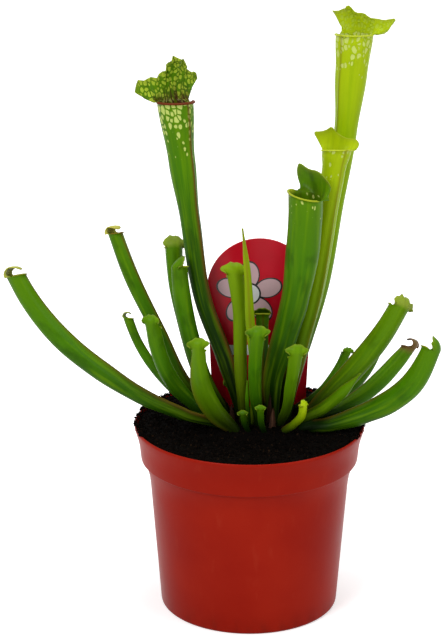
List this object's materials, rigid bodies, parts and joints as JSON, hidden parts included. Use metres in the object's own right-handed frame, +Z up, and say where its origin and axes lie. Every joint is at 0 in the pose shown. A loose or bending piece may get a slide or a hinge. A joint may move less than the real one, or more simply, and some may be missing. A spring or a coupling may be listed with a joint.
{
  "type": "potted pitcher plant",
  "caption": "Young trumpet pitcher plant in a round plastic nursery pot, with hooded tubular leaves, dark peat and an arched plant label.",
  "frame": {"origin": "centre of the pot's base, on the surface that the pot stands on", "axes": "+Z up the pot's axis; -Y is the front, from which the label is read; +X to the viewer's right"},
  "size_m": [0.1639, 0.09, 0.2392],
  "materials": {
    "terracotta_plastic": "smooth satin terracotta-red moulded plastic",
    "peat": null,
    "rhizome": "rough brown rootstock",
    "leaf_green": null,
    "leaf_lime": null,
    "withered_leaf": "dry brown papery leaf base",
    "label_red": "thin printed red plastic sheet"
  },
  "bodies": {
    "root": {"label": "label_red", "old_leaf_base_1": "withered_leaf", "old_leaf_base_2": "withered_leaf", "old_leaf_base_3": "withered_leaf", "peat": "peat", "pitcher_back_centre": "leaf_green", "pitcher_centre_left": "leaf_green", "pitcher_dark_right": "leaf_green", "pitcher_far_left": "leaf_green", "pitcher_far_right": "leaf_green", "pitcher_front_centre": "leaf_green", "pitcher_front_left": "leaf_green", "pitcher_front_tiny": "leaf_green", "pitcher_hidden_right": "leaf_green", "pitcher_long_right": "leaf_green", "pitcher_short_left": "leaf_green", "pitcher_short_right": "leaf_green", "pitcher_side_left": "leaf_green", "pitcher_small_back_right": "leaf_green", "pitcher_small_left": "leaf_green", "pitcher_tall_left": "leaf_green", "pitcher_tall_right": "leaf_lime", "pitcher_tiny_back": "leaf_green", "pitcher_tiny_left": "leaf_green", "pitcher_upright_back": "leaf_green", "pitcher_upright_front": "leaf_green", "pitcher_wide_front": "leaf_green", "pitcher_yellow": "leaf_lime", "pitcher_yellow_tiny": "leaf_lime", "pot": "terracotta_plastic", "rhizome": "rhizome", "unopened_leaf_back_right": "leaf_green", "unopened_leaf_centre": "leaf_lime", "unopened_leaf_front": "leaf_green", "unopened_leaf_right": "leaf_green"}
  },
  "joints": []
}
